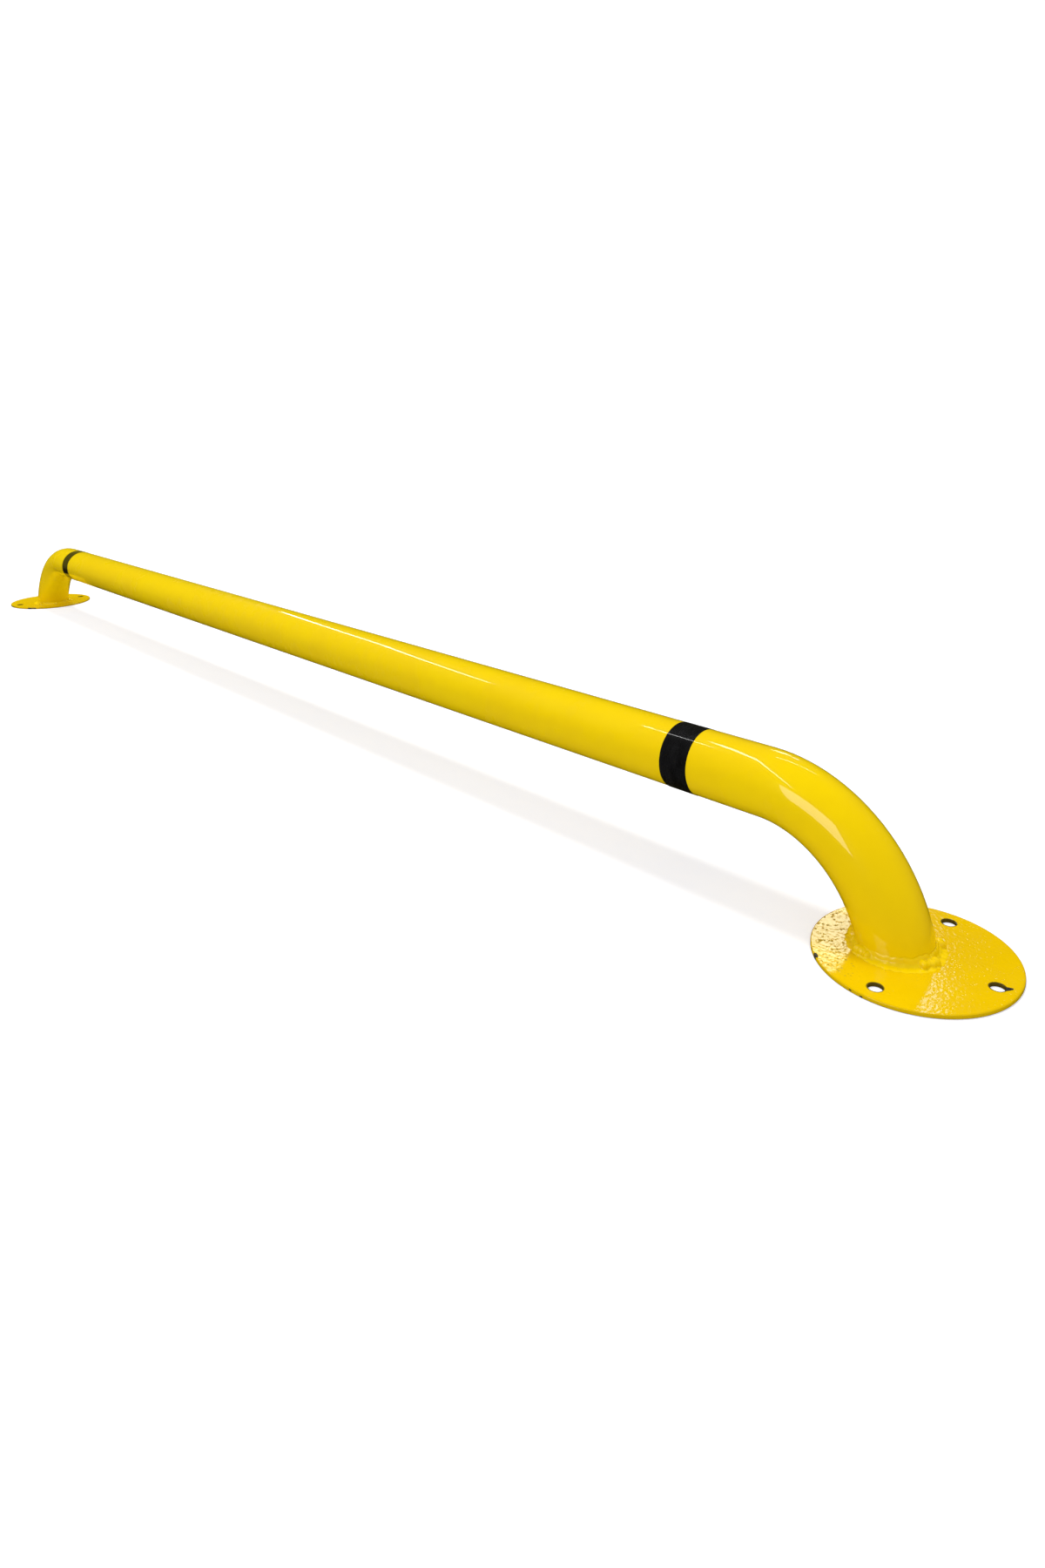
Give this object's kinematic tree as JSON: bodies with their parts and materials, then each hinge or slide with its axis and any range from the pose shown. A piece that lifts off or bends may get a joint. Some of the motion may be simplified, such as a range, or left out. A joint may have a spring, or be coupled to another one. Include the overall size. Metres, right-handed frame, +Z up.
{
  "type": "steel protection rail bollard",
  "caption": "Low horizontal steel tube rail bent down at both ends onto round foot plates with anchor holes, painted yellow with black marking bands",
  "frame": {"origin": "on the ground under the middle of the rail", "axes": "+X along the rail towards its right end, +Z up"},
  "size_m": [2.124, 0.155, 0.1322],
  "materials": {
    "rail_paint": "gloss yellow enamel",
    "plate_paint": "gloss yellow enamel, slightly orange-peeled",
    "weld_paint": "gloss yellow enamel over a rippled bead",
    "band_tape": "smooth glossy black tape"
  },
  "bodies": {
    "root": {"rail_tube": "rail_paint", "left_foot_plate": "plate_paint", "right_foot_plate": "plate_paint", "left_foot_weld": "weld_paint", "right_foot_weld": "weld_paint", "left_band": "band_tape", "right_band": "band_tape"}
  },
  "joints": []
}
